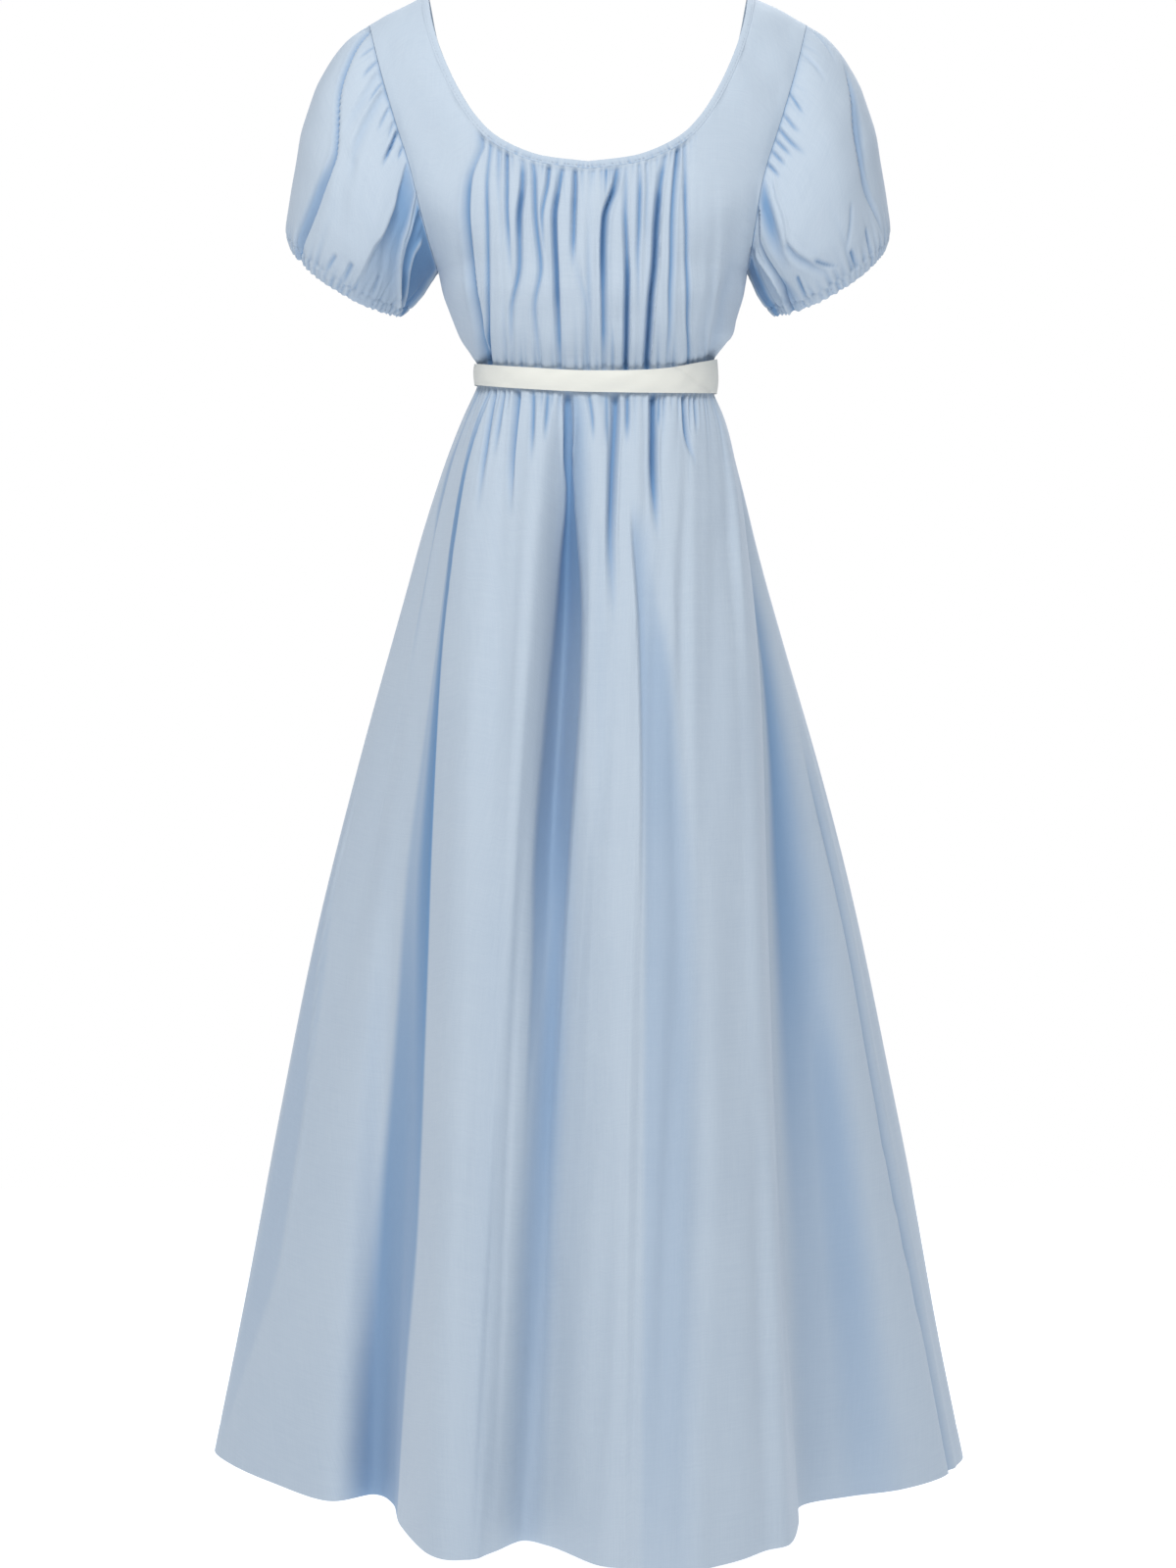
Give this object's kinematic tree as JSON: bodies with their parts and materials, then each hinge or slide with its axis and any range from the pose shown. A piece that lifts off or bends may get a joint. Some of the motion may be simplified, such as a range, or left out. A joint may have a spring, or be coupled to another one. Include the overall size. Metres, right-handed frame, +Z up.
{
  "type": "puff sleeve dress",
  "caption": "Ankle-length high-waisted dress with a scooped, gathered neckline, short puff sleeves, a flared skirt in deep folds and a flat ribbon belt.",
  "frame": {"origin": "midway between the two shoulders, at the height where they carry the dress", "axes": "+Z up from hem to shoulders, -Y towards the front of the dress, +X towards the sleeve on the right when seen from the front"},
  "size_m": [0.6968, 0.7445, 1.3407],
  "materials": {
    "blue_cloth": "matt, lightly slubbed plain weave",
    "ivory_ribbon": "soft satin"
  },
  "bodies": {
    "root": {"bodice_front": "blue_cloth", "bodice_back": "blue_cloth", "neck_binding": "blue_cloth", "sleeve_left": "blue_cloth", "sleeve_right": "blue_cloth", "skirt_front": "blue_cloth", "skirt_back": "blue_cloth", "belt": "ivory_ribbon"}
  },
  "joints": []
}
